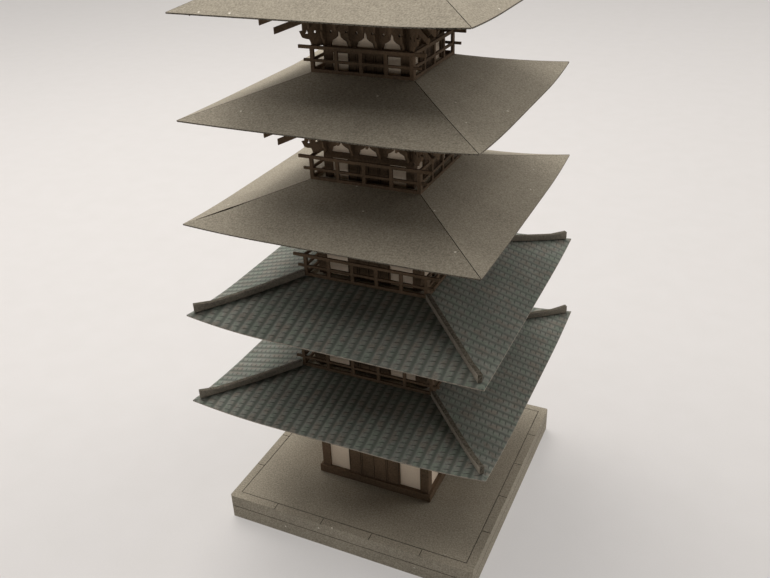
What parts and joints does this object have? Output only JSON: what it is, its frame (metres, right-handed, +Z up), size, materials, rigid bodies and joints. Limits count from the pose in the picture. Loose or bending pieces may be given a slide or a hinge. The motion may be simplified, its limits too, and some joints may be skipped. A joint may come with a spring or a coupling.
{
  "type": "five-storey pagoda card model",
  "caption": "Card model of a square multi-storey pagoda on a low base, with curled hip roofs, tiled below and bare card above, railed balconies, brackets and a mast.",
  "frame": {"origin": "centre of the underside of the square base, on the surface it stands on", "axes": "+Z up the tower; -Y out of the front face; +X to the right of that face"},
  "size_m": [0.0798, 0.0798, 0.2092],
  "materials": {
    "grey_card": "matte",
    "brown_card": "matte",
    "white_card": "matte",
    "tile_card": "matte",
    "ridge_card": "matte"
  },
  "bodies": {
    "root": {"base_deck": "grey_card", "base_walls": "grey_card", "storey_1_sill": "brown_card", "storey_1_walls": "white_card", "storey_1_frame": "brown_card", "storey_1_brackets": "brown_card", "storey_2_walls": "white_card", "storey_2_frame": "brown_card", "storey_2_brackets": "brown_card", "storey_3_walls": "white_card", "storey_3_frame": "brown_card", "storey_3_brackets": "brown_card", "storey_4_walls": "white_card", "storey_4_frame": "brown_card", "storey_4_brackets": "brown_card", "storey_5_walls": "white_card", "storey_5_frame": "brown_card", "storey_5_brackets": "brown_card", "roof_1_rafter_board": "brown_card", "roof_1_cover": "grey_card", "roof_1_tiles": "tile_card", "roof_1_ridge_front_left": "ridge_card", "roof_1_ridge_front_right": "ridge_card", "roof_1_ridge_back_right": "ridge_card", "roof_1_ridge_back_left": "ridge_card", "roof_2_rafter_board": "brown_card", "roof_2_cover": "grey_card", "roof_2_tiles": "tile_card", "roof_2_ridge_front_left": "ridge_card", "roof_2_ridge_front_right": "ridge_card", "roof_2_ridge_back_right": "ridge_card", "roof_2_ridge_back_left": "ridge_card", "roof_3_rafter_board": "brown_card", "roof_3_cover": "grey_card", "roof_4_rafter_board": "brown_card", "roof_4_cover": "grey_card", "roof_5_rafter_board": "brown_card", "roof_5_cover": "grey_card", "balcony_2": "brown_card", "balcony_3": "brown_card", "balcony_4": "brown_card", "balcony_5": "brown_card", "finial_base": "brown_card", "finial_mast": "brown_card"}
  },
  "joints": []
}
